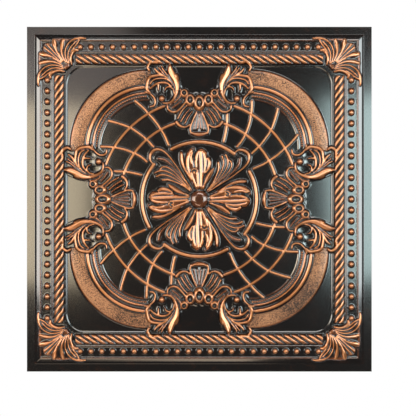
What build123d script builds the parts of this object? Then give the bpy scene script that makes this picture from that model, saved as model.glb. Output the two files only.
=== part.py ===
from build123d import *
import math
import os

os.makedirs("parts", exist_ok=True)

# A square ceiling tile of thin vacuum-formed sheet, 24 inch nominal.
# Millimetres. The tile lies face up: its flat flange rests on z = 0 and the centre of
# the tile is on the Z axis. The pattern is the same on all four sides.

# Sheet
tile_side = 603.0
sheet = 0.6

# Border widths, from the outer edge inwards
flange_width = 14.5
step_run = 1.5
cove_width = 7.0
cove_lip_width = 2.0
channel_width = 19.0
ridge_width = 3.5
ridge_gap = 1.5
rope_width = 16.0
groove_width = 5.5

# Border heights of the face above the flange's underside
step_level = 3.2
cove_level = 5.4
channel_level = 3.6
ridge_level = 4.6
rope_level = 10.0
ground_level = 2.6
wall_run = 1.0

# Beads in the channel
bead_width = 10.0
bead_rise = 4.2
bead_slope = 39.0
bead_pitch = 18.9
beads_a_side = 23
bead_sides = 6

# Rope, with notches between its slanted strands
rope_top_width = 6.5
strand_pitch = 14.0
strand_notch_width = 6.0
strand_notch_depth = 3.2
strand_slant = 11.0
strands_a_side = 30
rope_end = 2.0

# Field corners
field_corner_radius = 31.0

# Four curved bands of the quatrefoil
lobe_centre = 90.0
band_radius = 137.0
band_sweep = 84.0
band_end_wall = 1.0
roll_width = 5.5
roll_rise = 3.6
band_rise = 2.9
moulding_radius = 110.0
moulding_width = 6.5
moulding_rise = 4.0
dark_groove_width = 4.0
dark_groove_rise = 0.8
strip_lip_width = 3.0
strip_lip_rise = 2.6
strip_width = 14.0
strip_rise = 1.5

# Lattice of raised bars inside each lobe
bar_width = 6.0
bar_rise = 2.7
cross_bar_rise = 2.4
outer_arc_radius = 174.0
inner_arc_radius = 139.0
lattice_span = 54.0
cross_bars = (
    ((49.0, 149.0), (47.5, 124.0), (42.5, 101.0)),
    ((92.0, 171.0), (85.5, 127.0), (66.0, 92.0)),
    ((137.0, 158.0), (121.0, 114.0), (91.0, 79.5)),
    ((171.5, 112.0), (136.0, 77.0), (95.0, 53.5)),
)

# Ring and boss of the centre
ring_radius = 100.0
ring_width = 8.5
ring_rise = 4.4
ring_start = 52.5
ring_sweep = 66.5
boss_width = 30.0
boss_sides = 8
boss_rise = 8.4
boss_slope = 20.0
boss_cap_rise = 2.4
boss_cap_slope = 60.0

# Leaves and ribs, as places in the plane of the tile. A leaf is an outline, a rib is a route.
leaf_slope = 24.0

# Rosette, one quarter: petals, and a fan of ribs under a curled leaf
petal_rise = 6.8
petal = (
    (-2.0, 8.0), (6.0, 8.0), (16.0, 46.0), (22.5, 60.0), (22.0, 70.0), (14.0, 83.0), (3.0, 89.5),
    (-8.0, 80.0), (-11.0, 62.0),
)
side_petal_rise = 5.8
side_petals = (
    ((-6.5, 22.0), (-11.5, 62.0), (-9.5, 91.0), (-18.0, 89.5), (-23.5, 78.0), (-20.0, 50.0)),
    ((-11.0, 20.0), (-20.5, 48.0), (-25.5, 76.0), (-31.0, 84.5), (-35.0, 76.0), (-29.0, 50.0)),
    ((8.5, 14.0), (23.0, 43.0), (27.5, 56.0), (22.0, 55.0), (17.0, 45.0)),
)
fan_rib_width = 6.0
fan_rib_rise = 5.6
fan_ribs = (
    ((15.0, 25.0), (23.0, 41.0), (32.0, 66.0)),
    ((20.0, 27.0), (31.5, 43.0), (42.0, 77.0)),
    ((25.5, 29.0), (41.0, 47.5), (55.0, 70.0)),
    ((28.0, 27.0), (53.0, 49.5), (69.0, 69.0)),
)
curl_rim_width = 7.0
curl_rim_rise = 6.4
curl_rim = ((14.0, 12.5), (55.0, 38.5), (79.0, 54.0), (87.0, 69.0), (80.0, 83.0), (65.0, 84.0))

# Cartouche, one half: a shell of rings over three fans, beside a leaf scroll
scroll_leaf_rise = 7.2
scroll_leaf = ((36.0, 192.0), (46.0, 198.0), (56.5, 221.0), (51.5, 235.5), (45.0, 225.0), (34.0, 210.0))
scroll_stem_width = 9.5
scroll_stem = ((64.0, 166.8), (50.0, 167.3), (39.5, 184.0), (40.5, 204.0))
eye_place = (65.0, 177.5)
eye_width = 13.0
eye_sides = 6
eye_rise = 7.2
eye_slope = 35.0
scroll_rib_width = 6.8
scroll_rib_rise = 6.0
scroll_ribs = (
    ((50.5, 197.5), (66.0, 205.5), (82.0, 198.0)),
    ((59.0, 211.5), (82.0, 216.0), (91.0, 202.0), (88.5, 191.5)),
    ((59.0, 218.5), (77.0, 228.0)),
    ((74.0, 232.8), (86.0, 232.3), (88.0, 221.5)),
    ((93.0, 187.0), (77.0, 178.0), (82.0, 161.0)),
)
fan_rim_width = 6.0
fan_rim_rise = 5.0
fan_rims = (
    ((0.0, 113.0), (15.0, 115.5), (4.0, 153.0)),
    ((17.0, 133.0), (28.0, 125.5), (40.5, 137.0)),
    ((28.5, 170.0), (43.0, 151.0), (53.0, 160.5)),
)
shell_rise = 6.4
shell_slope = 18.0
shell_wall = 4.5
shell_sides = 6
hole_sides = 4
shells = (
    ((0.0, 169.5), (10.5, 13.5)),
    ((17.0, 174.0), (9.0, 11.0)),
    ((27.5, 187.0), (7.6, 7.6)),
)

# Corner leaf, one half: x runs along the diagonal, from zero at the corner of the flange
corner_rib_width = 7.4
corner_rib_rise = 5.4
corner_pad_rise = 2.4
corner_pad = (
    (-92.0, 0.0), (-78.0, -30.0), (-72.0, -60.0), (-48.0, -38.0), (-27.0, -22.0), (-20.0, 0.0),
    (-27.0, 22.0), (-48.0, 38.0), (-72.0, 60.0), (-78.0, 30.0),
)
corner_ribs = (
    ((-83.0, 7.5), (-70.5, 19.0), (-72.0, 36.0)),
    ((-66.0, 12.0), (-54.0, 20.0), (-51.0, 36.0), (-67.0, 55.0)),
    ((-52.0, 12.0), (-42.0, 17.0), (-31.0, 26.0)),
    ((-88.0, 4.2), (-25.0, 4.6)),
)

# Distances from the centre of the tile to each line of the border
tile_half = tile_side / 2
flange_inner = tile_half - flange_width
step_inner = flange_inner - step_run
cove_inner = step_inner - cove_width
channel_outer = cove_inner - cove_lip_width
channel_inner = channel_outer - channel_width
rope_outer = channel_inner - ridge_width - ridge_gap
rope_centre = rope_outer - rope_width / 2
rope_inner = rope_outer - rope_width
field_half = rope_inner - groove_width
bead_centre = channel_outer - wall_run - (channel_width - wall_run) / 2
ground_back = ground_level - sheet
embed = sheet / 2
ground_inside = Plane.XY.offset(ground_level - embed)
channel_inside = Plane.XY.offset(channel_level - embed)


def side_plane(distance=0.0):
    """Plane across the top side, with its x out from the centre and its y up."""
    return Plane(origin=(distance, 0, 0), x_dir=(0, 1, 0), z_dir=(1, 0, 0))


def lobe_plane(angle):
    """Plane through the axis of the first lobe, with its x out along the angle."""
    turn = math.radians(angle)
    return Plane(
        origin=(lobe_centre, lobe_centre, 0),
        x_dir=(math.cos(turn), math.sin(turn), 0),
        z_dir=(math.sin(turn), -math.cos(turn), 0),
    )


def rib_section(width, rise):
    """Corners of the section of a rib or bar, a low ridge seated in the ground."""
    return (
        (-width / 2, ground_level - embed),
        (width / 2, ground_level - embed),
        (0, ground_level + rise),
    )


def oval(half_width, half_length, sides):
    """Corners of an upright oval, evenly round it."""
    turns = [math.tau * side / sides for side in range(sides)]
    return [(half_width * math.sin(turn), -half_length * math.cos(turn)) for turn in turns]


def start_plane(path):
    """Plane across the start of a path, with its y up."""
    along = path % 0
    return Plane(origin=path @ 0, x_dir=(-along.Y, along.X, 0), z_dir=along)


lobe_axis = Axis((lobe_centre, lobe_centre, 0), (0, 0, 1))
band_start = 45.0 - band_sweep / 2

# Border: one side in section, with its mitred ends. The sheet is bent, so its
# back runs along its face.
border_face = (
    (tile_half, sheet),
    (flange_inner, sheet),
    (step_inner, step_level),
    (cove_inner, cove_level),
    (channel_outer, cove_level),
    (channel_outer - wall_run, channel_level),
    (channel_inner, channel_level),
    (channel_inner - wall_run, ridge_level),
    (channel_inner - ridge_width + wall_run, ridge_level),
    (channel_inner - ridge_width, channel_level),
    (field_half + wall_run, channel_level),
    (field_half, ground_level),
    (field_half - wall_run, ground_level),
)

with BuildPart() as border_side:
    with BuildSketch(side_plane()):
        with BuildLine():
            Polyline(*border_face)
            offset(amount=sheet, side=Side.LEFT, kind=Kind.INTERSECTION)
        make_face()
    extrude(amount=tile_half, both=True)
    split(bisect_by=Plane(origin=(0, 0, 0), x_dir=(0, 0, 1), z_dir=(1, 1, 0)))
    split(bisect_by=Plane(origin=(0, 0, 0), x_dir=(0, 0, 1), z_dir=(-1, 1, 0)))

# Beads of the top side, low and six-sided
bead_places = [
    ((index - (beads_a_side - 1) / 2) * bead_pitch, bead_centre)
    for index in range(beads_a_side)
]
with BuildPart() as beads:
    with BuildSketch(channel_inside):
        with Locations(*bead_places):
            RegularPolygon(bead_width / 2, bead_sides)
    extrude(amount=bead_rise + embed, taper=bead_slope)

# Rope of the top side, a bar with a slanted notch between each two strands
rope_length = strands_a_side * strand_pitch + 2 * rope_end
notch_places = [
    ((index - strands_a_side / 2) * strand_pitch, 0) for index in range(strands_a_side + 1)
]
notch_plane = Plane(
    origin=(0, rope_centre, rope_level),
    x_dir=(-rope_width, -strand_slant, 0),
    z_dir=(-strand_slant, rope_width, 0),
)
with BuildPart() as notch:
    with BuildSketch(notch_plane):
        Polygon(
            (0, -strand_notch_depth),
            (strand_notch_width, strand_notch_depth),
            (-strand_notch_width, strand_notch_depth),
            align=None,
        )
    extrude(amount=rope_width, both=True)

with BuildPart() as rope:
    with BuildSketch(side_plane()):
        Polygon(
            (rope_inner, channel_level - embed),
            (rope_outer, channel_level - embed),
            (rope_centre + rope_top_width / 2, rope_level),
            (rope_centre - rope_top_width / 2, rope_level),
            align=None,
        )
    extrude(amount=rope_length / 2, both=True)
    with Locations(*notch_places):
        add(notch.part, mode=Mode.SUBTRACT)

# The rope is hollow behind, like the rest of the sheet
rope_back_half = rope_width / 2 - 2 * sheet
rope_hollow_level = rope_level - strand_notch_depth - sheet
rope_hollow_half = rope_top_width / 2 + sheet
with BuildPart() as rope_hollow:
    with BuildSketch(side_plane()):
        Polygon(
            (rope_centre - rope_back_half, channel_level - 2 * sheet),
            (rope_centre + rope_back_half, channel_level - 2 * sheet),
            (rope_centre + rope_hollow_half, rope_hollow_level),
            (rope_centre - rope_hollow_half, rope_hollow_level),
            align=None,
        )
    extrude(amount=rope_length / 2 - 2 * sheet, both=True)

# One lobe: its band, mouldings and strip, in section about the lobe's own centre
roll_inner = band_radius - roll_width
moulding_inner = moulding_radius - moulding_width
dark_groove_inner = moulding_inner - dark_groove_width
strip_outer = dark_groove_inner - strip_lip_width
strip_inner = strip_outer - strip_width
band_face = (
    (band_radius, ground_level),
    (band_radius - roll_width / 2, ground_level + roll_rise),
    (roll_inner, ground_level + band_rise),
    (moulding_radius, ground_level + band_rise),
    (moulding_radius - moulding_width / 2, ground_level + moulding_rise),
    (moulding_inner, ground_level + dark_groove_rise),
    (dark_groove_inner, ground_level + dark_groove_rise),
    (dark_groove_inner - strip_lip_width / 2, ground_level + strip_lip_rise),
    (strip_outer, ground_level + strip_rise),
    (strip_inner + wall_run, ground_level + strip_rise),
    (strip_inner, ground_level),
)
band_back = (
    (band_radius - sheet, ground_back),
    (roll_inner, ground_level + band_rise - sheet),
    (moulding_radius, ground_level + band_rise - sheet),
    (moulding_inner + sheet, ground_back),
)

with BuildPart() as lobe_solid:
    with BuildSketch(lobe_plane(band_start)):
        with BuildLine():
            Polyline(
                *band_face,
                (strip_inner, ground_level - embed),
                (band_radius, ground_level - embed),
                close=True,
            )
        make_face()
    revolve(axis=lobe_axis, revolution_arc=band_sweep)

with BuildPart() as lobe_hollow:
    with BuildSketch(lobe_plane(band_start + band_end_wall)):
        with BuildLine():
            Polyline(
                *band_back,
                (moulding_inner + sheet, ground_back - sheet),
                (band_radius - sheet, ground_back - sheet),
                close=True,
            )
        make_face()
    revolve(axis=lobe_axis, revolution_arc=band_sweep - 2 * band_end_wall)

# Lattice bars of one quadrant
with BuildPart() as lattice:
    for radius in (outer_arc_radius, inner_arc_radius):
        with BuildLine(Plane.XY) as path:
            CenterArc((0, 0), radius, 45.0 - lattice_span / 2, lattice_span)
        with BuildSketch(start_plane(path.line)):
            Polygon(*rib_section(bar_width, bar_rise), align=None)
        sweep(path=path.line)
    for start, middle, end in cross_bars:
        with BuildLine(Plane.XY) as path:
            ThreePointArc(start, middle, end)
        with BuildSketch(start_plane(path.line)):
            Polygon(*rib_section(bar_width, cross_bar_rise), align=None)
        sweep(path=path.line)

# One quarter of the ring
with BuildPart() as ring:
    with BuildLine(Plane.XY) as path:
        CenterArc((0, 0), ring_radius, ring_start, ring_sweep)
    with BuildSketch(start_plane(path.line)):
        Polygon(*rib_section(ring_width, ring_rise), align=None)
    sweep(path=path.line)

# Boss at the centre
with BuildPart() as boss:
    with BuildSketch(ground_inside):
        RegularPolygon(boss_width / 2, boss_sides)
    extrude(amount=boss_rise - boss_cap_rise + embed, taper=boss_slope)
    extrude(boss.faces().sort_by(Axis.Z)[-1], amount=boss_cap_rise, taper=boss_cap_slope)

# One quarter of the rosette
with BuildPart() as rosette:
    for outline, rise in (
        (petal, petal_rise),
        *((side_petal, side_petal_rise) for side_petal in side_petals),
    ):
        with BuildSketch(ground_inside):
            Polygon(*outline, align=None)
        extrude(amount=rise + embed, taper=leaf_slope)
    for route, width, rise in (
        *((rib, fan_rib_width, fan_rib_rise) for rib in fan_ribs),
        (curl_rim, curl_rim_width, curl_rim_rise),
    ):
        with BuildLine(Plane.XY) as path:
            Polyline(*route)
        with BuildSketch(start_plane(path.line)):
            Polygon(*rib_section(width, rise), align=None)
        sweep(path=path.line, transition=Transition.RIGHT)

# One cartouche, its right half and then the mirror image
with BuildPart() as cartouche:
    with BuildSketch(ground_inside):
        Polygon(*scroll_leaf, align=None)
    extrude(amount=scroll_leaf_rise + embed, taper=leaf_slope)
    with BuildSketch(ground_inside):
        with Locations(eye_place):
            RegularPolygon(eye_width / 2, eye_sides)
    extrude(amount=eye_rise + embed, taper=eye_slope)
    for route, width, rise in (
        (scroll_stem, scroll_stem_width, scroll_leaf_rise),
        *((rib, scroll_rib_width, scroll_rib_rise) for rib in scroll_ribs),
        *((rim, fan_rim_width, fan_rim_rise) for rim in fan_rims),
    ):
        with BuildLine(Plane.XY) as path:
            Polyline(*route)
        with BuildSketch(start_plane(path.line)):
            Polygon(*rib_section(width, rise), align=None)
        sweep(path=path.line, transition=Transition.RIGHT)
    for place, (half_width, half_length) in shells:
        with BuildSketch(ground_inside):
            with Locations(place):
                Polygon(*oval(half_width, half_length, shell_sides), align=None)
        extrude(amount=shell_rise + embed, taper=shell_slope)
    for place, (half_width, half_length) in shells:
        with BuildSketch(Plane.XY.offset(ground_level + embed)):
            with Locations(place):
                Polygon(*oval(half_width - shell_wall, half_length - shell_wall, hole_sides), align=None)
        extrude(amount=shell_rise, mode=Mode.SUBTRACT)
    split(bisect_by=Plane.YZ)
    mirror(about=Plane.YZ)

# One corner leaf, its left half and then the mirror image
with BuildPart() as corner_leaf:
    for route in corner_ribs:
        with BuildLine(Plane.XY.offset(channel_level - ground_level)) as path:
            Polyline(*route)
        with BuildSketch(start_plane(path.line)):
            Polygon(*rib_section(corner_rib_width, corner_rib_rise), align=None)
        sweep(path=path.line, transition=Transition.RIGHT)
    split(bisect_by=Plane.XZ, keep=Keep.BOTTOM)
    mirror(about=Plane.XZ)
    with BuildSketch(channel_inside):
        Polygon(*corner_pad, align=None)
    extrude(amount=corner_pad_rise + embed)

# The tile: flat ground, four border sides, and the pattern turned four times
with BuildPart() as tile_sheet:
    with BuildSketch(Plane.XY.offset(ground_back)):
        Rectangle(2 * field_half, 2 * field_half)
    extrude(amount=sheet)
    with BuildSketch(ground_inside):
        Rectangle(2 * field_half, 2 * field_half)
        RectangleRounded(
            2 * field_half, 2 * field_half, field_corner_radius, mode=Mode.SUBTRACT
        )
    extrude(amount=channel_level - ground_level + embed)
    with PolarLocations(0, 4):
        add(border_side.part)
        add(lobe_solid.part)
        add(rope.part)
    with PolarLocations(0, 4):
        add(lobe_hollow.part, mode=Mode.SUBTRACT)
        add(rope_hollow.part, mode=Mode.SUBTRACT)
    with PolarLocations(0, 4):
        add(beads.part)
        add(lattice.part)
        add(ring.part)
        add(rosette.part)
        add(cartouche.part)
    with PolarLocations(flange_inner * math.sqrt(2), 4, start_angle=45):
        add(corner_leaf.part)
    add(boss.part)

tile_sheet.part.label = "tile_sheet"
export_step(tile_sheet.part, "parts/tile_sheet.step")
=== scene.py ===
import math

import bmesh
import bpy
import numpy as np
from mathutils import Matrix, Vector


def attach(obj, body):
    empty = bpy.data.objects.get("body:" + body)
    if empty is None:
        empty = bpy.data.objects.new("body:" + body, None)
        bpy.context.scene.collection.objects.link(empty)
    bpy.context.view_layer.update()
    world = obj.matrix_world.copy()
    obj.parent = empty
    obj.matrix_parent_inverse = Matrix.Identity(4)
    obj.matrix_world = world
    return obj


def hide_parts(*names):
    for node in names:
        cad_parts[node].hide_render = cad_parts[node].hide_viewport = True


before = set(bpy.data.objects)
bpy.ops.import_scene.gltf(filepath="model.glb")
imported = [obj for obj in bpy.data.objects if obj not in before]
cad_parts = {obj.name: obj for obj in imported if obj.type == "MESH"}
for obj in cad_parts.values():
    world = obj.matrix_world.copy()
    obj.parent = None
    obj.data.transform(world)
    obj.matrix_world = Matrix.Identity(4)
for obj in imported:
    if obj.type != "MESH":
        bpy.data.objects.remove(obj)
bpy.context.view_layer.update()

# The mould. The real tile is one sheet of plastic, drawn by vacuum over a carved mould, so
# all its relief is one height above the flange's underside. Here the mould is a raster of
# heights, in millimetres, over the whole tile, with the copper paint that each spot takes.
TILE_SIDE = 603.0
CELL = 0.5


def smooth(low, high, value):
    """Ease from 0 at low to 1 at high."""
    t = np.clip((value - low) / (high - low), 0.0, 1.0)
    return t * t * (3.0 - 2.0 * t)


def through(points, steps=6):
    """Rounded line through given points, each with as many numbers as it carries."""
    p = np.array(points, dtype=float)
    p = np.vstack([2 * p[0] - p[1], p, 2 * p[-1] - p[-2]])
    t = np.linspace(0.0, 1.0, steps, endpoint=False)[:, None]
    spans = []
    for a, b, c, d in zip(p[:-3], p[1:-2], p[2:-1], p[3:]):
        bend = 2 * a - 5 * b + 4 * c - d + t * (3 * (b - c) + d - a)
        spans.append(b + 0.5 * t * (c - a + t * bend))
    return np.vstack([*spans, p[-2:-1]])


class Mould:
    """Heights and paint over the tile, with the tools that carve it."""

    def __init__(self):
        self.count = int(round(TILE_SIDE / CELL))
        axis = (np.arange(self.count) + 0.5) * CELL - TILE_SIDE / 2
        self.x, self.y = np.meshgrid(axis, axis)
        self.height = np.zeros_like(self.x)
        self.paint = np.zeros_like(self.x)

    def window(self, x0, y0, x1, y1):
        """Rows and columns that hold a rectangle of the tile."""
        half = TILE_SIDE / 2
        limits = [int((v + half) / CELL) for v in (y0, y1 + CELL, x0, x1 + CELL)]
        r0, r1, c0, c1 = np.clip(limits, 0, self.count)
        return slice(r0, r1), slice(c0, c1)

    def along(self, points, width, crest):
        """How far off a rounded line each spot is, in half widths, and the crest there."""
        n = len(points)
        line = np.column_stack([points, np.broadcast_to(width, n), np.broadcast_to(crest, n)])
        line = through(line)
        w = line[:, 2].max()
        spot = self.window(
            line[:, 0].min() - w, line[:, 1].min() - w, line[:, 0].max() + w, line[:, 1].max() + w
        )
        x, y = self.x[spot], self.y[spot]
        off = np.full_like(x, np.inf)
        top = np.zeros_like(x)
        for a, b in zip(line[:-1], line[1:]):
            run = b[:2] - a[:2]
            t = ((x - a[0]) * run[0] + (y - a[1]) * run[1]) / max(run @ run, 1e-9)
            t = np.clip(t, 0.0, 1.0)
            half = a[2] + t * (b[2] - a[2])
            gap = np.hypot(x - a[0] - t * run[0], y - a[1] - t * run[1]) / np.maximum(half, 1e-6)
            near = gap < off
            off = np.where(near, gap, off)
            top = np.where(near, a[3] + t * (b[3] - a[3]), top)
        return spot, off, top

    def ridge(self, points, width, crest, foot=2.0, round=2.2, paint=1.0, edge=0.6):
        """Raise a rounded ridge along a line; half width and crest may vary along it."""
        spot, off, top = self.along(points, width, crest)
        self.raise_to(spot, off, top, foot, round, paint, edge)

    def dome(self, x, y, width, depth, crest, foot=2.0, round=2.2, paint=1.0, edge=0.6):
        """Raise an oval dome."""
        spot = self.window(x - width, y - depth, x + width, y + depth)
        off = np.hypot((self.x[spot] - x) / width, (self.y[spot] - y) / depth)
        self.raise_to(spot, off, crest, foot, round, paint, edge)

    def raise_to(self, spot, off, crest, foot, round, paint, edge):
        """Raise a crest where it is higher than what is there, and paint it."""
        z = crest - (crest - foot) * np.minimum(off, 1.0) ** round
        up = (off < 1.0) & (z > self.height[spot])
        self.height[spot] = np.where(up, z, self.height[spot])
        self.paint[spot] = np.where(up, paint * (1.0 - smooth(edge, 1.0, off)), self.paint[spot])

    def pad(self, outline, crest, bevel, foot=2.0, paint=0.9, edge=1.2):
        """Raise a leaf-shaped pad inside a closed rounded outline, with a rounded shoulder."""
        line = through([*outline, outline[0]])
        spot = self.window(*line.min(axis=0), *line.max(axis=0))
        x, y = self.x[spot], self.y[spot]
        depth = np.full_like(x, np.inf)
        inside = np.zeros(x.shape, dtype=bool)
        for (ax, ay), (bx, by) in zip(line[:-1], line[1:]):
            rx, ry = bx - ax, by - ay
            t = np.clip(((x - ax) * rx + (y - ay) * ry) / max(rx * rx + ry * ry, 1e-9), 0.0, 1.0)
            depth = np.minimum(depth, np.hypot(x - ax - t * rx, y - ay - t * ry))
            if ay != by:
                inside ^= ((ay > y) != (by > y)) & (x < ax + (y - ay) * rx / ry)
        rise = np.sqrt(1.0 - (1.0 - np.clip(depth / bevel, 0.0, 1.0)) ** 2)
        z = foot + (crest - foot) * rise
        up = inside & (z > self.height[spot])
        self.height[spot] = np.where(up, z, self.height[spot])
        self.paint[spot] = np.where(up, paint * smooth(0.0, edge, depth), self.paint[spot])

    def groove(self, points, width, floor, round=2.0):
        """Cut a rounded groove along a line."""
        spot, off, low = self.along(points, width, floor)
        self.cut_to(spot, off, low, round)

    def hollow(self, x, y, width, depth, floor, round=3.0):
        """Cut an oval hollow."""
        spot = self.window(x - width, y - depth, x + width, y + depth)
        off = np.hypot((self.x[spot] - x) / width, (self.y[spot] - y) / depth)
        self.cut_to(spot, off, floor, round)

    def cut_to(self, spot, off, floor, round):
        """Cut down to a floor where it is lower than what is there, and wipe its paint."""
        here = self.height[spot]
        z = floor + (here - floor) * np.minimum(off, 1.0) ** round
        down = (off < 1.0) & (z < here)
        self.height[spot] = np.where(down, z, here)
        self.paint[spot] = np.where(down, self.paint[spot] * smooth(0.35, 1.0, off), self.paint[spot])

    def fan_out(self, before):
        """Repeat on the other three sides all that was carved since the copy before."""
        for name in ("height", "paint"):
            old = getattr(before, name)
            change = getattr(self, name) - old
            turns = [np.rot90(change, k) for k in range(4)]
            rise = np.maximum.reduce([np.maximum(t, 0.0) for t in turns])
            fall = np.minimum.reduce([np.minimum(t, 0.0) for t in turns])
            setattr(self, name, old + rise + fall)

    def mirrored(self, points, about="x"):
        """The same line on the other side of the vertical middle or of the diagonal."""
        if about == "x":
            return [(-p[0], *p[1:]) for p in points]
        return [(p[1], p[0], *p[2:]) for p in points]

    def copy(self):
        """The heights and paint so far, to tell later what was carved since."""
        twin = object.__new__(Mould)
        twin.height = self.height.copy()
        twin.paint = self.paint.copy()
        return twin


mould = Mould()
across = np.maximum(np.abs(mould.x), np.abs(mould.y))

# Border. A flat flange that hangs on the ceiling grid, a step, a slanted cove with a thin
# copper lip, the bead channel and the ledge inside it. All of it is drawn in one section.
SHEET = 0.6
GROUND = 2.6
CHANNEL = 3.6
WALL_RUN = 1.0
FIELD_HALF = 231.0
FLANGE_INNER = 288.0
border_line = [
    (FIELD_HALF, GROUND), (FIELD_HALF + WALL_RUN, CHANNEL),
    (254.5, CHANNEL), (255.6, 4.7), (257.2, 4.7), (258.4, CHANNEL),
    (275.2, CHANNEL), (276.6, 5.2), (278.4, 5.2), (284.6, 3.2),
    (FLANGE_INNER, SHEET), (TILE_SIDE / 2, SHEET),
]
border_d, border_z = np.array(border_line).T
mould.height = np.interp(across, border_d, border_z)


def painted_line(place, spread):
    """A soft line of paint all round the tile, at a distance from its centre."""
    return np.exp(-(((across - place) / spread) ** 2))


lip = painted_line(277.0, 1.1)
ledge = painted_line(256.3, 1.1)
step_edge = painted_line(287.0, 0.9)
mould.paint = 0.36 * lip + 0.4 * ledge + 0.22 * step_edge

# Field. The ground of the pattern is flat, dark and glossy, a little lower than the
# border, and its corners are rounded behind the corner leaves.
FIELD_CORNER = 31.0
corner_x = np.abs(mould.x) - (FIELD_HALF - FIELD_CORNER)
corner_y = np.abs(mould.y) - (FIELD_HALF - FIELD_CORNER)
corner_off = np.hypot(np.maximum(corner_x, 0.0), np.maximum(corner_y, 0.0)) - FIELD_CORNER
mould.height = np.where(
    (across < FIELD_HALF + WALL_RUN) & (corner_off > 0.0),
    GROUND + np.clip(corner_off, 0.0, WALL_RUN),
    mould.height,
)

# Beads. A row of round beads stands in the channel on each side. They are drawn in the
# sheet like all the rest, and copper paint covers them down to their feet.
BEAD_PITCH = 18.9
BEADS_A_SIDE = 23
BEAD_CENTRE = 265.5
BEAD_RADIUS = 5.9
BEAD_TOP = 8.9
before = mould.copy()
for k in range(BEADS_A_SIDE):
    x = (k - BEADS_A_SIDE // 2) * BEAD_PITCH
    mould.dome(
        x, BEAD_CENTRE, BEAD_RADIUS, BEAD_RADIUS, BEAD_TOP, foot=3.0, round=2.6, edge=0.9
    )
mould.fan_out(before)

# Rope. A half-round rope of slanted strands runs inside the ledge, from corner leaf to
# corner leaf. Paint is left on the strands' crests, and the gaps between them are dark.
ROPE_CENTRE = 244.5
ROPE_HALF = 9.5
ROPE_END = 216.0
ROPE_RISE = 7.2
STRAND_PITCH = 14.0
STRAND_SLANT = 12.0
before = mould.copy()
spot = mould.window(-ROPE_END, ROPE_CENTRE - ROPE_HALF, ROPE_END, ROPE_CENTRE + ROPE_HALF)
v = (mould.y[spot] - ROPE_CENTRE) / ROPE_HALF
lean = 0.7 * v + 0.3 * np.arcsin(np.clip(v, -1.0, 1.0))
lay = (mould.x[spot] + STRAND_SLANT * lean) / STRAND_PITCH
u = 2.0 * np.abs(lay - np.floor(lay) - 0.5)
body = np.sqrt(np.clip(1.0 - v * v, 0.0, 1.0))
strand = np.sqrt(np.clip(1.0 - (u / 0.98) ** 2.2, 0.0, 1.0))
rope = CHANNEL + ROPE_RISE * body * (0.3 + 0.7 * strand)
up = rope > mould.height[spot]
mould.height[spot] = np.where(up, rope, mould.height[spot])
rope_paint = (1.0 - smooth(0.35, 0.74, u)) * smooth(0.3, 0.7, body)
mould.paint[spot] = np.where(up, rope_paint, mould.paint[spot])
mould.fan_out(before)

# Bands. Four arcs of satin copper make the quatrefoil, each with a roll at its outer edge,
# a double moulding, a dark groove, a row of tiny pearls and a thin ridge inside it.
LOBE = 90.0
BAND_START = -2.5
BAND_END = 92.5
PEARL_CIRCLE = 89.6
PEARLS = 33
PEARL_RADIUS = 2.2
band_line = [
    (81.5, GROUND), (83.0, 3.1), (84.0, 3.3), (85.2, 3.1), (86.2, 3.0), (92.0, 3.4), (93.4, 4.6),
    (94.6, 5.6), (96.0, 5.8), (97.4, 4.8), (98.6, 3.0), (101.0, 3.0), (102.2, 5.2), (103.6, 6.8),
    (105.4, 7.2), (107.2, 6.9), (108.6, 5.8), (109.6, 5.2), (111.0, 5.5), (122.0, 5.9),
    (130.0, 5.8), (133.0, 5.5), (134.6, 4.8), (136.2, 3.4), (137.2, GROUND),
]
band_paint_line = [
    (82.0, 0.0), (83.4, 0.6), (84.6, 0.4), (86.0, 0.0), (92.4, 0.0), (94.2, 0.7), (96.2, 0.85),
    (97.8, 0.2), (98.8, 0.0), (101.2, 0.0), (102.8, 0.75), (105.0, 1.0), (107.2, 0.95),
    (108.6, 0.45), (109.6, 0.25), (111.2, 0.72), (130.0, 0.74), (133.0, 0.66), (135.2, 0.5),
    (136.4, 0.0),
]
before = mould.copy()
inner, outer = LOBE - 30.0, FIELD_HALF + WALL_RUN
lobe_spot = mould.window(inner, inner, outer, outer)
lobe_x, lobe_y = mould.x[lobe_spot] - LOBE, mould.y[lobe_spot] - LOBE
lobe_r = np.hypot(lobe_x, lobe_y)
lobe_turn = np.degrees(np.arctan2(lobe_y, lobe_x))
in_sweep = (lobe_turn > BAND_START) & (lobe_turn < BAND_END)
band_r, band_z = np.array(band_line).T
band = np.interp(lobe_r, band_r, band_z, left=0.0, right=0.0)
up = in_sweep & (band > GROUND)
mould.height[lobe_spot] = np.where(up, band, mould.height[lobe_spot])
paint_r, paint_share = np.array(band_paint_line).T
band_paint = np.interp(lobe_r, paint_r, paint_share)
mould.paint[lobe_spot] = np.where(up, band_paint, mould.paint[lobe_spot])
end_off = np.minimum(lobe_turn - BAND_START, BAND_END - lobe_turn)
mould.paint[lobe_spot] *= np.where(up, 0.55 + 0.45 * smooth(0.0, 14.0, end_off), 1.0)
for turn in np.radians(np.linspace(2.0, 88.0, PEARLS)):
    x, y = LOBE + PEARL_CIRCLE * math.cos(turn), LOBE + PEARL_CIRCLE * math.sin(turn)
    mould.dome(x, y, PEARL_RADIUS, PEARL_RADIUS, 5.9, foot=3.3, round=2.0, paint=0.8, edge=0.8)
mould.fan_out(before)

# Lattice. Raised bars inside each lobe: two arcs about the centre of the tile, crossed by
# bars that swirl out from the ring.
OUTER_ARC = 174.0
INNER_ARC = 139.0


def arc(radius, first, last):
    """Points of an arc about the centre of the tile, from one angle to another."""
    turns = np.radians(np.linspace(first, last, 9))
    return [(radius * math.cos(turn), radius * math.sin(turn)) for turn in turns]


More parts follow.
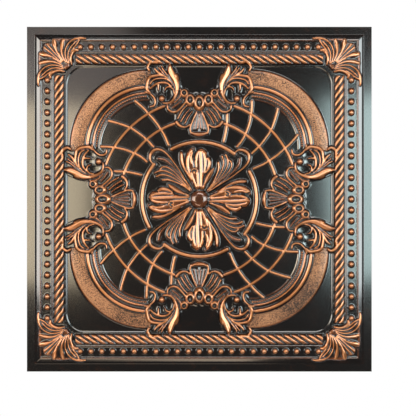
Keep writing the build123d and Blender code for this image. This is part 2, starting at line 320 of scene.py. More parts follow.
before = mould.copy()
for route in (arc(OUTER_ARC, 19.0, 71.0), arc(INNER_ARC, 17.5, 72.5)):
    mould.ridge(route, 3.4, 5.4, round=3.0, edge=0.65)
swirl_bars = [
    [(92, 171), (91.5, 158), (90.5, 149), (87.5, 133), (80.5, 114), (74, 102), (66, 92)],
    [(137, 158), (133, 143), (125.5, 122), (117, 108.5), (104.5, 92.5), (91, 79.5)],
    [(171.5, 112), (160, 98.5), (149, 88.5), (135.5, 76.5), (122.5, 67.5), (110, 60), (95, 53.5)],
    [(49, 149), (48.5, 138), (48, 128), (45.5, 114), (42.5, 101)],
]
for bar in swirl_bars:
    mould.ridge(bar, 3.0, 5.0, round=3.0, edge=0.6, paint=0.85)
mould.fan_out(before)

# Ring. A round moulding of copper runs about the rosette, in four lengths between the
# curled leaves that break it. From here on, ornaments may lie over the bands.
RING_RADIUS = 100.0
bare = mould.height.copy()
before = mould.copy()
mould.ridge(arc(RING_RADIUS, 52.5, 119.0), 4.4, 7.0, round=2.8, edge=0.7)
mould.fan_out(before)

# Rosette. Four petals of broad lobes and, between them, four fans of fine ribs, each beside a
# long leaf that curls over at the ring.
before = mould.copy()
fan_bed = [
    (9, 11), (20, 32), (29, 50), (31, 64), (36, 72), (41, 77), (46.5, 80.5), (52, 74), (57, 69),
    (63, 74), (70, 82), (80, 78), (85, 69), (79, 58), (64, 45), (44, 32), (24, 19), (13, 9),
]
mould.pad(fan_bed, 4.6, 3.0, paint=0.03)
fan_ribs = (
    ([(13, 15), (23, 28), (30, 42), (34, 54), (33.5, 64)], (1.2, 1.8, 2.1, 2.6, 2.4)),
    ([(14, 15), (27, 30), (37, 45), (42, 58), (42.5, 67), (39.5, 75)], (1.2, 1.8, 2.0, 2.1, 2.2, 2.2)),
    ([(16, 16), (33, 33), (44.5, 48), (49.5, 60), (49.5, 70), (46, 78)], (1.2, 1.8, 2.0, 2.1, 2.1, 1.8)),
    ([(18, 16.5), (38, 34), (50, 46.5), (56, 57), (56, 64), (52.5, 68)], (1.2, 1.8, 2.0, 2.1, 2.2, 2.0)),
)
for line, width in fan_ribs:
    crest = np.linspace(8.2, 6.8, len(line))
    mould.ridge(line, width, crest, foot=4.2, edge=0.55, paint=0.8)
thin_ribs = (
    ([(22, 17.5), (42, 33), (56, 45.5)], (1.0, 1.6, 1.5), (7.6, 7.2, 6.6), 0.55),
    ([(20, 14.5), (42, 29.5), (64, 44.5)], (1.0, 1.4, 1.3), (7.6, 7.2, 6.8), 0.5),
)
for line, width, crest, cover in thin_ribs:
    mould.ridge(line, width, crest, foot=4.0, edge=0.5, paint=cover)
leaf_fold = [(54, 43), (63, 52), (69, 61), (71, 71)]
mould.ridge(leaf_fold, (1.4, 2.8, 3.4, 2.6), (6.4, 7.0, 7.4, 7.0), foot=4.0, paint=0.5)
leaf_rim = [
    (15, 12.5), (35, 25), (56, 38.5), (74, 52), (83.5, 62),
    (87, 71), (85, 79.5), (78, 85), (69, 86), (63.5, 82.5),
]
mould.ridge(
    leaf_rim,
    (1.6, 2.2, 2.6, 3.0, 3.6, 4.2, 4.8, 4.6, 3.8, 2.6),
    (8.2, 7.8, 7.8, 8.0, 8.4, 9.0, 9.4, 9.2, 8.6, 7.6),
    edge=0.75,
)
thin_lobe = [
    (-8, 14), (-14, 27), (-22, 40), (-29, 52), (-34, 64), (-35.5, 74), (-34, 82), (-30.5, 84), (-27.5, 80),
    (-26.5, 70), (-24.5, 58), (-20, 44), (-10, 26),
]
right_lobe = [
    (2, 14), (6, 28), (10, 40), (16, 48), (22, 54),
    (27, 55.5), (27, 50.5), (22.5, 41), (15, 29), (7, 14),
]
left_lobe = [
    (-4, 12), (-11, 28), (-17, 42), (-22, 54), (-25, 66), (-24, 77), (-19, 86), (-12.5, 90.5), (-7.5, 89.5),
    (-8, 84), (-11.5, 78), (-8, 68), (-4, 50), (-1, 30),
]
main_petal = [
    (-4, 12), (-8, 34), (-11, 50), (-11, 62), (-10.5, 72), (-8, 80), (-3, 86.5), (3, 89.5), (9, 87), (14, 82),
    (15, 76.5), (20, 72), (22, 65), (20, 57), (14.5, 50), (10, 42), (8, 30), (4, 12),
]
front_leaf = [
    (-5, 12), (-10, 26), (-15, 38), (-17.5, 47), (-14.5, 53),
    (-8.5, 55.5), (-3, 53), (1, 47), (2, 36), (2, 12),
]
mould.pad(thin_lobe, 8.0, 4.5)
mould.pad(right_lobe, 8.6, 5.0)
mould.pad(left_lobe, 8.8, 6.0)
mould.pad(main_petal, 9.2, 7.0)
petal_folds = (
    ([(-13, 34), (-18, 48), (-20.5, 60), (-20, 72), (-16, 83)], (2.4, 3.4, 3.8, 3.8, 2.8), 9.6, 6.4),
    ([(-13, 62), (-14.5, 72), (-12, 82)], (1.6, 2.6, 2.4), 9.4, 6.4),
    ([(3.5, 18), (3.5, 40), (3.2, 60), (2.5, 76), (2, 84)], (2.6, 3.2, 3.8, 4.2, 3.0), 10.2, 7.2),
    ([(-5.5, 56), (-6, 66), (-4.5, 76), (-2, 83)], (2.0, 2.8, 3.0, 2.2), 9.8, 7.2),
    ([(9, 46), (10.5, 60), (10, 72), (8, 81)], (2.0, 2.8, 3.4, 3.0), 10.2, 7.2),
    ([(12, 47), (16.5, 56), (18, 65), (14, 72.5)], (2.2, 3.6, 3.8, 2.8), 10.0, 6.8),
    ([(9, 26), (15, 40), (22, 50), (25.5, 53.5)], (2.2, 3.6, 3.2, 1.8), 9.6, 6.4),
    ([(-14, 34), (-25, 52), (-30, 66), (-31, 79)], (1.8, 2.8, 3.4, 3.0), 8.8, 6.0),
)
for line, width, crest, foot in petal_folds:
    mould.ridge(line, width, crest, foot=foot, round=2.0, edge=0.85)
mould.pad(front_leaf, 9.8, 4.0)
front_folds = (
    ([(-5, 20), (-11, 36), (-14, 46)], (2.6, 3.2, 2.2), 10.4),
    ([(-1, 20), (-2.5, 36), (-3.5, 47)], (2.6, 3.0, 2.0), 10.4),
    ([(-14, 47), (-9, 53), (-3.5, 50)], (1.6, 2.4, 1.6), 10.6),
)
for line, width, crest in front_folds:
    mould.ridge(line, width, crest, foot=7.6, round=2.0, edge=0.85)
mould.groove([(-12.5, 47.5), (-10, 50.3), (-6.5, 49.6), (-6.5, 47)], (1.2, 1.5, 1.5, 1.0), 7.2)
mould.groove([(-11, 88), (-8.5, 82), (-10, 75), (-8, 69)], (2.2, 1.8, 1.6, 1.0), 4.6)
mould.groove([(16, 76.5), (13, 73)], (1.8, 1.0), 6.0)
mould.fan_out(before)

# Its boss, in a dark hollow
HOLLOW_RADIUS = 22.0
BOSS_RADIUS = 17.0
BOSS_TOP = 10.98
mould.hollow(0.0, 0.0, HOLLOW_RADIUS, HOLLOW_RADIUS, 4.0, round=2.5)
mould.dome(
    0.0, 0.0, BOSS_RADIUS, BOSS_RADIUS, BOSS_TOP, foot=4.0, round=4.5, paint=0.36, edge=0.85
)

# Cartouche. On the middle of each side: a shell of rings over three fans, between two leaf
# scrolls that curl round their balls.
before = mould.copy()


def both_sides(tool, points, *sizes, **finish):
    """Carve a line and its mirror image about the middle of the side."""
    tool(points, *sizes, **finish)
    tool(mould.mirrored(points), *sizes, **finish)


cartouche_bed = [
    (0, 109), (14, 111), (19, 124), (30, 124), (42, 134), (43, 149), (56, 153), (58, 163),
    (78, 163), (92, 182), (94, 200), (90, 216), (92, 232), (84, 242), (72, 240), (56, 232),
    (46, 236), (38, 222), (31, 200), (30, 190), (16, 184), (0, 181),
]
both_sides(mould.pad, cartouche_bed, 3.2, 1.0, paint=0.0)

# Its three fans: a filled middle one and two ribbed ones on each side
middle_fan = [(1, 152), (8, 152), (14, 136), (17, 124), (14, 114), (0, 112)]
outer_fan = [(26, 170), (37, 178), (50, 168), (55, 158), (47, 152), (37, 155)]
both_sides(mould.pad, middle_fan, 5.6, 2.5, paint=0.3)
both_sides(mould.pad, outer_fan, 5.0, 2.0, paint=0.3)
fan_ridges = (
    ([(4.5, 153), (8.5, 144), (13, 133), (16, 123), (14.5, 115.5)],
     (1.6, 2.6, 2.6, 2.6, 2.8), (6.0, 8.0, 8.0, 8.0, 8.0), 1.0),
    ([(0.5, 150), (1.5, 138), (2.5, 124)], (1.2, 2.0, 2.6), 6.9, 0.45),
    ([(3, 150), (6.5, 137), (9, 123)], (1.2, 2.0, 2.4), 6.9, 0.45),
    ([(17, 130), (22, 126.5), (28.5, 126), (35, 129), (39.5, 134.5)], (2.6, 2.8, 3.2, 4.0, 4.0), 8.6, 1.0),
    ([(12, 154), (20, 143), (25.5, 132)], (1.8, 2.3, 2.4), 7.2, 0.7),
    ([(16, 158), (25, 147.5), (32, 136)], (1.8, 2.5, 2.8), 7.2, 0.7),
    ([(22, 163), (31, 153), (37.5, 141)], (2.0, 2.5, 2.6), 7.4, 0.8),
    ([(24, 169), (33, 158.5), (40, 153), (48, 152.5), (54.5, 157), (55.5, 163)],
     (2.8, 3.2, 3.2, 3.0, 2.8, 2.6), 8.4, 1.0),
    ([(31, 172), (39, 165), (47, 159.5)], (1.8, 2.6, 2.6), 7.2, 0.5),
    ([(33, 178), (42, 172), (51, 163.5)], (1.8, 2.2, 2.2), 7.0, 0.4),
    ([(33, 192), (32, 184), (36, 176), (43, 168)], (2.2, 3.0, 3.0, 2.0), 7.6, 0.6),
)
for line, width, crest, cover in fan_ridges:
    both_sides(mould.ridge, line, width, crest, foot=3.0, round=2.6, paint=cover, edge=0.75)
mould.ridge(
    [(-14, 116.5), (-8, 114.0), (0, 113.2), (8, 114.0), (14, 116.5)],
    (3.2, 4.8, 5.6, 4.8, 3.2),
    (7.4, 9.0, 9.8, 9.0, 7.4),
    round=1.7,
    edge=0.85,
)

# Its shell: five rings, the middle one the largest
rings = (
    ((26.5, 184.5), (9.0, 9.0), (4.0, 4.2)),
    ((16.0, 172.5), (10.6, 12.4), (4.8, 6.6)),
    ((0.0, 167.5), (11.4, 15.6), (5.4, 8.8)),
)
for (x, y), (width, depth), (hole_width, hole_depth) in rings:
    for side in (-1.0, 1.0):
        mould.dome(side * x, y, width, depth, 10.2, foot=3.4, round=3.6, edge=0.9)
        mould.hollow(side * x, y + 1.4, hole_width, hole_depth, 3.4)

# Its leaf scrolls: arcs like a crest, thin leaves above them, a broad leaf and a volute
scroll_ridges = (
    ([(58, 213.5), (68, 216), (77, 215.5), (84.5, 213.5), (89, 208.5), (91, 200), (91, 192), (86.5, 186)],
     (2.2, 3.2, 3.8, 4.2, 4.2, 4.2, 4.6, 3.2), 8.8, 1.0),
    ([(49, 203), (56, 208.5), (65, 210.8), (74, 210), (81.5, 207), (85.5, 201)],
     (1.6, 2.2, 2.4, 2.5, 2.6, 2.2), 7.8, 0.9),
    ([(49, 197), (57, 202.5), (66, 203.5), (74, 201.5), (80, 198), (85, 193)],
     (2.2, 3.2, 3.4, 3.4, 3.0, 2.2), 8.4, 1.0),
    ([(71, 202), (71.5, 196), (71, 190)], (3.4, 2.6, 1.6), 7.6, 0.9),
    ([(43, 193), (48, 205), (56, 217), (63, 226), (66, 232.5)], (1.8, 2.0, 2.3, 2.4, 1.8), 7.6, 0.8),
    ([(46, 198), (54, 210), (63, 220), (71, 230)], (1.6, 1.9, 2.3, 1.9), 7.6, 0.8),
    ([(56, 211), (65, 217), (73, 222), (78, 228)], (2.4, 3.4, 3.6, 2.2), 8.4, 1.0),
    ([(73.5, 238.5), (80.5, 240.4), (86.5, 237), (90, 230.5), (87.5, 225)],
     (4.2, 4.6, 4.4, 3.8, 3.4), 9.0, 1.0),
    ([(95, 187.5), (86, 184), (78.5, 176.5), (77, 168.5), (80, 162.8), (86, 161.5)],
     (1.8, 2.4, 2.8, 2.8, 2.8, 2.2), 7.2, 0.9),
)
for line, width, crest, cover in scroll_ridges:
    both_sides(mould.ridge, line, width, crest, foot=3.0, round=2.6, paint=cover, edge=0.75)
main_leaf = [
    (50, 239), (46, 231.5), (44, 224.5), (42, 221), (38, 219.5), (35, 214), (33.4, 206),
    (33.4, 196), (35, 186), (38.5, 177), (43, 170.5), (49, 165.8), (56, 164.2), (63, 165.2),
    (66, 169), (60, 170.5), (53, 171.5), (48, 176), (45.4, 183), (44.2, 190), (44.6, 197),
    (47, 203.5), (51, 210), (54.5, 217), (56.5, 224), (56, 231), (53.5, 236.5),
]
main_fold = [(37, 190), (38.5, 204), (45, 217), (50.5, 231)]
volute = [(44, 184), (46, 192), (52, 196), (58, 194), (60.5, 189)]
both_sides(mould.pad, main_leaf, 10.0, 5.5, paint=1.0)
both_sides(mould.ridge, main_fold, (2.0, 4.0, 4.6, 2.6), 10.6, foot=8.0, round=2.0)
both_sides(mould.ridge, volute, (2.2, 2.9, 2.9, 2.8, 2.2), 9.0)
for side in (-1.0, 1.0):
    mould.hollow(side * 52.6, 181.5, 6.2, 9.6, 2.8)
    mould.hollow(side * 65.0, 190.5, 4.8, 6.6, 2.8)
    mould.hollow(side * 77.0, 187.5, 5.0, 6.0, 2.8)
    mould.dome(side * 65.5, 175.5, 7.0, 7.0, 10.8, foot=2.4, round=2.6, edge=0.88)
mould.fan_out(before)

# Corner leaf. An acanthus leaf on each corner of the border, the same on both sides of the
# diagonal.
before = mould.copy()


def both_halves(tool, points, *sizes, **finish):
    """Carve a line and its mirror image about the diagonal."""
    tool(points, *sizes, **finish)
    tool(mould.mirrored(points, "diagonal"), *sizes, **finish)


leaf_bed = [
    (224.5, 232), (232, 224), (238, 219.5), (250, 220.5), (262, 213), (276, 209), (280.6, 199),
    (282.6, 212), (281, 228), (281.5, 238), (281, 252), (275, 259), (271, 271),
]
leaf_bed = leaf_bed + mould.mirrored(leaf_bed[-2:1:-1], "diagonal")
leaf_foot = [(225.5, 232), (232, 225.5), (244, 230), (249, 249), (230, 244)]
mid_rib = [(235, 235), (243, 243), (255, 255), (268, 268)]
mid_widths = (5.0, 7.0, 6.0, 3.6)
mid_crests = (6.8, 8.4, 9.0, 7.0)
mould.pad(leaf_bed, 6.4, 3.0, paint=0.5)
mould.pad(leaf_foot, 8.8, 3.5, foot=5.0, paint=0.52)
mould.ridge(mid_rib, mid_widths, mid_crests, foot=6.0, round=2.4, paint=0.6, edge=0.9)
leaf_lobes = (
    ([(234, 222), (243, 224.4), (251, 223.4), (257, 220.3), (260.5, 216), (259.8, 212)],
     (1.2, 3.2, 3.6, 3.8, 3.8, 2.6), (7.6, 9.2, 9.4, 9.0, 8.8, 7.8)),
    ([(256, 224.5), (264, 219), (270, 214), (277, 210)], (1.6, 2.2, 2.4, 2.4), (8.6, 8.8, 8.6, 8.2)),
    ([(237, 227), (248, 228.8), (257, 228.0), (265, 224.2), (271, 219), (275, 215.4)],
     (2.2, 2.4, 2.4, 2.4, 2.3, 1.8), (9.8, 9.8, 9.6, 9.2, 8.8, 8.2)),
    ([(238, 230), (249, 233.2), (259, 233.6), (268, 230.4),
      (275.5, 224), (279.8, 216), (281, 206), (280.8, 198.5)],
     (2.2, 2.5, 2.6, 2.6, 2.7, 3.2, 3.2, 1.8), (9.9, 10.0, 9.8, 9.6, 9.4, 9.0, 8.6, 7.4)),
    ([(239, 233), (250, 238.2), (260, 240.2), (270, 239.4), (277.5, 237.5)],
     (2.4, 3.2, 3.8, 4.8, 3.8), (10.0, 10.2, 9.8, 9.2, 7.8)),
    ([(241, 237), (252, 244.6), (262, 249.2), (270, 252), (276.5, 253.5)],
     (2.6, 3.8, 5.2, 6.2, 4.4), (10.0, 10.2, 9.8, 9.2, 7.8)),
    ([(240, 238.6), (252, 250), (262, 258.4), (270, 264.6)], (2.2, 3.0, 3.6, 3.0), (10.2, 10.4, 9.6, 7.8)),
)
for line, width, crest in leaf_lobes:
    both_halves(mould.ridge, line, width, crest, foot=5.0, round=2.4, edge=0.8)
both_halves(mould.groove, [(256, 245.5), (265, 247.5), (273, 248.5)], (0.9, 1.4, 1.4), 7.8)
mould.groove([(243, 243), (253, 253), (269, 269)], (0.8, 1.5, 1.8), (8.4, 7.4, 5.4))
mould.fan_out(before)

# The formed sheet. The hot sheet follows the mould's high spots and bridges its narrowest
# ones, so its back is smoother than its face. It is made as a quadrant, turned four times,
# with the border apart from the field to keep each mesh light.
MM = 0.001
BLOCKS = 90
FIELD_BLOCKS = 70
BLOCK = TILE_SIDE / 2 / BLOCKS
FINE_STEPS = 4
FACE_CUTS = FINE_STEPS - 1
BACK_CUTS = 1
BUSY_RELIEF = 0.055
COARSE_FACE = 1.0
COARSE_BACK = 4.0
COARSE_PULL = 0.6


def soften(field, radius):
    """Blur a raster of the whole tile with a bell of the given radius, in millimetres."""
    reach = int(3 * radius / CELL)
    steps = np.arange(-reach, reach + 1) * CELL
    bell = np.exp(-0.5 * (steps / radius) ** 2)
    bell /= bell.sum()
    for axis in (0, 1):
        pad = [(reach, reach) if a == axis else (0, 0) for a in (0, 1)]
        wide = np.pad(field, pad, mode="edge")
        n = field.shape[axis]
        field = sum(
            w * (wide[k : k + n, :] if axis == 0 else wide[:, k : k + n])
            for k, w in enumerate(bell)
        )
    return field


def lowest_near(field, radius):
    """Lowest value within a square reach of each spot, in millimetres."""
    reach = int(round(radius / CELL))
    for axis in (0, 1):
        pad = [(reach, reach) if a == axis else (0, 0) for a in (0, 1)]
        wide = np.pad(field, pad, mode="edge")
        n = field.shape[axis]
        field = np.minimum.reduce(
            [wide[k : k + n, :] if axis == 0 else wide[:, k : k + n] for k in range(2 * reach + 1)]
        )
    return field


def sample(field, x, y):
    """Value of a raster at any spots of the tile."""
    c = np.clip((x + TILE_SIDE / 2) / CELL - 0.5, 0, mould.count - 1.001)
    r = np.clip((y + TILE_SIDE / 2) / CELL - 0.5, 0, mould.count - 1.001)
    c0, r0 = c.astype(int), r.astype(int)
    c, r = c - c0, r - r0
    low = field[r0, c0] * (1 - c) + field[r0, c0 + 1] * c
    high = field[r0 + 1, c0] * (1 - c) + field[r0 + 1, c0 + 1] * c
    return low * (1 - r) + high * r


# Heights and slopes of the face and the back; the flange is left quite flat
face = soften(mould.height, 0.45)
stretch = soften(lowest_near(mould.height, 2.0), 1.0)
back = np.minimum(stretch, lowest_near(face, 1.5)) - SHEET
back = np.maximum(back, 0.0)
slope_y, slope_x = np.gradient(face, CELL)
slope_x[across > FLANGE_INNER + 0.1] = 0.0
slope_y[across > FLANGE_INNER + 0.1] = 0.0
back_slope_y, back_slope_x = np.gradient(back, CELL)

# Satin is the flat of the bands, where nothing lies over them
satin_mask = np.zeros_like(face)
satin_flat = smooth(109.5, 112.5, lobe_r) * (1.0 - smooth(132.0, 135.5, lobe_r))
satin_mask[lobe_spot] = satin_flat * in_sweep
satin_mask = np.maximum.reduce([np.rot90(satin_mask, k) for k in range(4)])
satin_mask = satin_mask * (mould.height < bare + 0.02)

# Paint is rubbed off the hollows and the steep sides of the relief
relief = face - soften(face, 2.6)
rubbed = np.maximum(np.clip(0.55 + relief / 0.85, 0.0, 1.0), 0.72 * satin_mask)
rubbed *= 1.0 - 0.85 * smooth(0.9, 2.0, np.hypot(slope_x, slope_y))
paint = soften(mould.paint, 0.4) * rubbed

# Blocks that carry relief, and so are cut finer
lines = np.linspace(0.0, TILE_SIDE / 2, BLOCKS * FINE_STEPS + 1)
fine = sample(face, *np.meshgrid(lines, lines))
ramp = np.linspace(0.0, 1.0, FINE_STEPS + 1)
busy = np.zeros((BLOCKS, BLOCKS), dtype=bool)
for row in range(BLOCKS):
    for col in range(BLOCKS):
        first_row, first_col = FINE_STEPS * row, FINE_STEPS * col
        patch = fine[first_row : first_row + FINE_STEPS + 1, first_col : first_col + FINE_STEPS + 1]
        near_side = patch[0, 0] * (1 - ramp) + patch[0, -1] * ramp
        far_side = patch[-1, 0] * (1 - ramp) + patch[-1, -1] * ramp
        flat = np.outer(1 - ramp, near_side) + np.outer(ramp, far_side)
        on_relief = max(row, col) * BLOCK < FLANGE_INNER
        busy[row, col] = np.abs(patch - flat).max() > BUSY_RELIEF and on_relief
busy[0, :] |= busy[:, 0]
busy[:, 0] |= busy[0, :]


def fetch(items, name, size=1, kind=float):
    """Values of a mesh's vertices, corners or faces, as an array."""
    values = np.empty(len(items) * size, dtype=kind)
    items.foreach_get(name, values)
    return values.reshape(-1, size) if size > 1 else values


def add_skin(mesh, keep, cuts, field):
    """Add one skin of a quadrant, in square blocks, finer where they carry relief."""
    skin = bmesh.new()
    bmesh.ops.create_grid(skin, x_segments=BLOCKS, y_segments=BLOCKS, size=TILE_SIDE / 4)
    bmesh.ops.translate(skin, verts=skin.verts, vec=(TILE_SIDE / 4, TILE_SIDE / 4, 0.0))
    gone = [f for f in skin.faces if not keep(f.calc_center_median())]
    bmesh.ops.delete(skin, geom=gone, context="FACES")
    chosen = set()
    for f in skin.faces:
        centre = f.calc_center_median()
        if busy[int(centre.y / BLOCK), int(centre.x / BLOCK)]:
            chosen.update(f.edges)
    bmesh.ops.subdivide_edges(skin, edges=list(chosen), cuts=cuts, use_grid_fill=True)
    data = bpy.data.meshes.new("skin")
    skin.to_mesh(data)
    skin.free()
    spots = fetch(data.vertices, "co", 3)
    spots[:, 2] = sample(field, spots[:, 0], spots[:, 1])
    data.vertices.foreach_set("co", spots.ravel())
    mesh.from_mesh(data)


def add_object(name, data):
    """Put an object into the scene."""
    item = bpy.data.objects.new(name, data)
    bpy.context.collection.objects.link(item)
    return item


field_edge = FIELD_BLOCKS * BLOCK
parts = {
    "field": lambda centre: max(centre.x, centre.y) < field_edge,
    "border": lambda centre: max(centre.x, centre.y) > field_edge,
}
pieces = []
for part, keep in parts.items():
    mesh = bmesh.new()
    add_skin(mesh, keep, BACK_CUTS, back)
    bmesh.ops.reverse_faces(mesh, faces=mesh.faces)
    back_faces = len(mesh.faces)
    back_spots = len(mesh.verts)
    add_skin(mesh, keep, FACE_CUTS, face)
    skin_faces = len(mesh.faces)
    bmesh.ops.bridge_loops(mesh, edges=[e for e in mesh.edges if e.is_boundary])
    quarter = bpy.data.meshes.new(part)
    mesh.to_mesh(quarter)
    mesh.free()
    spots = fetch(quarter.vertices, "co", 3)
    for name, field in (("paint", paint), ("satin", satin_mask)):
        values = sample(field, spots[:, 0], spots[:, 1])
        values[:back_spots] = 0.0
        quarter.attributes.new(name, "FLOAT", "POINT").data.foreach_set("value", values)
    quarter.shade_smooth()
    # Normals come from the smooth relief, and stay square at the cut walls
    corners = fetch(quarter.loops, "vertex_index", kind=int)
    face_of = np.repeat(
        np.arange(len(quarter.polygons)), fetch(quarter.polygons, "loop_total", kind=int)
    )
    areas = fetch(quarter.polygons, "area")
    centres = fetch(quarter.polygons, "center", 3)
    normals = fetch(quarter.polygons, "normal", 3)[face_of]
    for first, last, side, coarse, along_x, along_y in (
        (back_faces, skin_faces, 1.0, COARSE_FACE, slope_x, slope_y),
        (0, back_faces, -1.0, COARSE_BACK, back_slope_x, back_slope_y),
    ):
        chosen = (face_of >= first) & (face_of < last)
        spot = spots[corners[chosen]]
        inward = centres[face_of[chosen]] - spot
        pull = np.where(areas[face_of[chosen]] > coarse, COARSE_PULL, 0.0)
        spot = spot + inward * pull[:, None]
        rise_x = sample(along_x, spot[:, 0], spot[:, 1])
        rise_y = sample(along_y, spot[:, 0], spot[:, 1])
        straight = np.column_stack([-rise_x, -rise_y, np.ones(len(spot))]) * side
        normals[chosen] = straight / np.linalg.norm(straight, axis=1)[:, None]
    for k in range(4):
        cos, sin = math.cos(k * math.pi / 2), math.sin(k * math.pi / 2)
        swing = np.array([[cos, sin, 0], [-sin, cos, 0], [0, 0, 1]])
        data = quarter.copy()
        data.vertices.foreach_set("co", (spots @ swing * MM).ravel())
        data.normals_split_custom_set((normals @ swing).tolist())
        data.update()
        piece = add_object(f"{part}_{k + 1}", data)
        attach(piece, "root")
        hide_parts("tile_sheet")
        pieces.append(piece)

# Paint. Antique copper is brushed over a dark glossy sheet and rubbed back, so it is gone in the hollows,
# and the best-covered crests are mixed to a paler copper that is partly a painted highlight. The flat of the
# bands has a grainy satin coat, darkened in a few spots partly by wear and partly by painted shade.
DARK_SHEET = (0.006, 0.004, 0.0034, 1.0)
COPPER = (0.50, 0.14, 0.036, 1.0)
HIGHLIGHT_COPPER = (0.78, 0.30, 0.105, 1.0)
SATIN_COPPER = (0.62, 0.33, 0.18, 1.0)
GRAINS_A_METRE = 760.0
BLOTCHES_A_METRE = 38.0
EVEN_WEAR = 0.04


class Wire:
    """A socket that does its arithmetic with Math nodes."""

    def __init__(self, tree, socket=None):
        self.tree, self.socket = tree, socket

    def node(self, kind, settings=None, out=0, **inputs):
        """Add a node, set it up, feed its sockets by name or as i0, i1, and give an output."""
        made = self.tree.nodes.new(kind)
        for key, value in (settings or {}).items():
            setattr(made, key, value)
        for key, value in inputs.items():
            socket = made.inputs[int(key[1:]) if key[1:].isdigit() else key]
            if isinstance(value, Wire):
                self.tree.links.new(value.socket, socket)
            else:
                socket.default_value = value
        return Wire(self.tree, made.outputs[out])

    def math(self, operation, *values, clamp=False):
        """Work out values with a Math node."""
        feeds = {f"i{k}": value for k, value in enumerate(values)}
        return self.node("ShaderNodeMath", {"operation": operation, "use_clamp": clamp}, **feeds)

    def blend(self, low, high):
        """Mix two colours by this value."""
        return self.node("ShaderNodeMix", {"data_type": "RGBA"}, 2, i0=self, i6=low, i7=high)

    def __add__(self, other):
        return self.math("ADD", self, other)

    def __radd__(self, other):
        return self.math("ADD", other, self)

    def __sub__(self, other):
        return self.math("SUBTRACT", self, other)

    def __rsub__(self, other):
        return self.math("SUBTRACT", other, self)

    def __mul__(self, other):
        return self.math("MULTIPLY", self, other)

    def __rmul__(self, other):
        return self.math("MULTIPLY", other, self)


copper = bpy.data.materials.new("antique_copper")
copper.use_nodes = True
tree = copper.node_tree
shader = tree.nodes["Principled BSDF"]
start = Wire(tree)
brushed = start.node("ShaderNodeAttribute", {"attribute_name": "paint"}, "Fac")
satin = start.node("ShaderNodeAttribute", {"attribute_name": "satin"}, "Fac")
places = start.node("ShaderNodeTexCoord", None, "Object")
grain, blotch = (
    start.node("ShaderNodeTexNoise", None, "Fac", Vector=places, Scale=scale, Detail=detail)
    for scale, detail in ((GRAINS_A_METRE, 1.0), (BLOTCHES_A_METRE, 3.0))
)

# Each darker spot on the satin, partly wear and partly painted shade, has its place, its reach and how much
# it darkens
wear_and_shade = EVEN_WEAR
for x, y, reach, loss_and_shade in (
    (0.175, -0.185, 0.07, 0.62),
    (-0.12, -0.22, 0.05, 0.5),
    (0.1, 0.22, 0.06, 0.2),
    (-0.1, 0.22, 0.06, 0.2),
):
    spot = (x, y, 0.0)
    away = start.node("ShaderNodeVectorMath", {"operation": "DISTANCE"}, "Value", i0=places, i1=spot)
    nearness = 1.0 - away * (1.0 / reach)
    wear_and_shade = wear_and_shade + start.math("MAXIMUM", nearness, 0.0) * loss_and_shade

speckle = (grain - 0.5) * (0.6 + satin * 2.6)
# The satin is darkened at these spots, partly by wear and partly by painted shade
speckle = speckle + (blotch - 0.5) * (0.5 + satin * 0.5) - satin * wear_and_shade
cover = start.math("MULTIPLY_ADD", brushed, 1.3, speckle - 0.1, clamp=True)
# Painted highlight, in part a paler rubbed copper: the best-covered crests are mixed to a lighter copper
highlight_cover = start.math("MULTIPLY_ADD", cover, 2.2, -1.2, clamp=True)
color = cover.blend(DARK_SHEET, COPPER)
color = highlight_cover.blend(color, HIGHLIGHT_COPPER)
color = (satin * cover).blend(color, SATIN_COPPER)
for name, wire in (
    ("Base Color", color),
    ("Metallic", cover * 0.9),
    ("Roughness", 0.14 + cover * 0.16 + satin * 0.2),
    ("Coat Weight", 0.9 - satin * 0.75),
):
    tree.links.new(wire.socket, shader.inputs[name])
shader.inputs["Coat Roughness"].default_value = 0.1
shader.inputs["Coat IOR"].default_value = 2.0
for piece in pieces:
    piece.data.materials.clear()
    piece.data.materials.append(copper)

# Floor, lamps and camera. The tile lies on a plain white floor, seen straight from above. Big
# soft boxes over its sides light the relief, and the cards above it are mirrored in the
# glossy flange and ground.
FLOOR_HALF = 12.0
WHITE = (1.0, 1.0, 1.0, 1.0)
PALE = (0.8, 0.8, 0.8, 1.0)
ROOM_LIGHT = 0.055

floor_mesh = bmesh.new()
bmesh.ops.create_grid(floor_mesh, x_segments=1, y_segments=1, size=FLOOR_HALF)
floor_data = bpy.data.meshes.new("floor")
floor_mesh.to_mesh(floor_data)
floor_mesh.free()
floor = add_object("floor", floor_data)

pale = bpy.data.materials.new("pale_floor")
pale.use_nodes = True
tree = pale.node_tree
matt = tree.nodes["Principled BSDF"]
matt.inputs["Base Color"].default_value = PALE
path = tree.nodes.new("ShaderNodeLightPath")
by_camera, by_gloss, by_glass = (
    Wire(tree, path.outputs[name])
    for name in ("Is Camera Ray", "Is Glossy Ray", "Is Transmission Ray")
)
seen = by_camera + by_gloss + by_glass
glow = seen.node("ShaderNodeEmission", Color=WHITE)
surface = seen.node(
    "ShaderNodeMixShader", i0=seen.math("MINIMUM", seen, 1.0), i1=Wire(tree, matt.outputs[0]), i2=glow
)
tree.links.new(surface.socket, tree.nodes["Material Output"].inputs["Surface"])
floor_data.materials.append(pale)

world = bpy.data.worlds.new("studio")
bpy.context.scene.world = world
world.use_nodes = True
world.node_tree.nodes["Background"].inputs["Color"].default_value = WHITE
world.node_tree.nodes["Background"].inputs["Strength"].default_value = ROOM_LIGHT


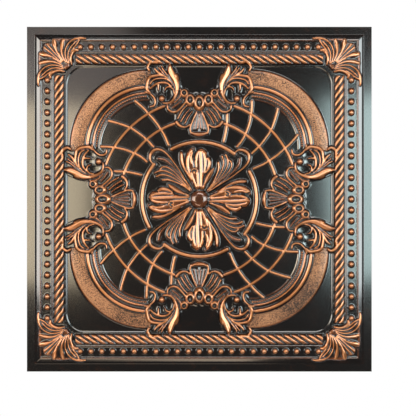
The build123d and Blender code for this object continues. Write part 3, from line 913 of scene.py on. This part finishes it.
def lamp(name, place, size, power, color):
    """Hang a flat lamp of a width and height, facing the middle of the tile."""
    data = bpy.data.lights.new(name, "AREA")
    data.shape = "RECTANGLE"
    data.size, data.size_y = size
    data.energy = power
    data.color = color
    item = add_object(name, data)
    item.location = place
    item.rotation_euler = (-Vector(place)).to_track_quat("-Z", "Y").to_euler()


lamp("top_box", (0.25, 1.3, 1.9), (1.6, 0.9), 14.5, (1.0, 0.97, 0.93))
lamp("bottom_box", (-0.4, -1.4, 1.8), (1.4, 0.8), 7.0, (1.0, 0.8, 0.6))
lamp("left_box", (-1.35, 0.1, 1.9), (1.0, 1.5), 15.5, (1.0, 0.95, 0.88))
lamp("right_box", (1.35, 0.1, 1.9), (1.0, 1.5), 16.0, (0.9, 0.98, 1.0))
lamp("left_card", (-0.64, 0.02, 2.2), (0.68, 0.46), 3.3, (1.0, 0.84, 0.58))
lamp("right_card", (0.72, 0.05, 2.2), (0.7, 0.48), 3.9, (0.74, 0.98, 0.97))
lamp("back_card", (-0.52, 0.56, 2.4), (0.5, 0.5), 0.5, (1.0, 0.88, 0.82))
lamp("left_lamp", (-1.7, 0.2, 1.1), (1.0, 1.0), 5.0, (1.0, 0.95, 0.88))
lamp("right_lamp", (1.7, 0.2, 1.1), (1.0, 1.0), 5.0, (0.9, 1.0, 1.0))

# The view is 416 pixels wide, and the tile's centre is at this pixel of it
VIEW_PIXELS = 416
CENTRE_PIXEL_X = 199.3
CENTRE_PIXEL_Y = 199.2
PIXEL = 1.75 * MM
CAMERA_HEIGHT = 1.9
SENSOR = 36.0
camera_data = bpy.data.cameras.new("camera")
camera = add_object("camera", camera_data)
camera.location = (0.0, 0.0, CAMERA_HEIGHT)
camera_data.sensor_width = SENSOR
camera_data.lens = SENSOR * CAMERA_HEIGHT / (VIEW_PIXELS * PIXEL)
camera_data.shift_x = (VIEW_PIXELS / 2 - CENTRE_PIXEL_X) / VIEW_PIXELS
camera_data.shift_y = -(VIEW_PIXELS / 2 - CENTRE_PIXEL_Y) / VIEW_PIXELS
bpy.context.scene.camera = camera
bpy.context.scene.view_settings.view_transform = "Standard"
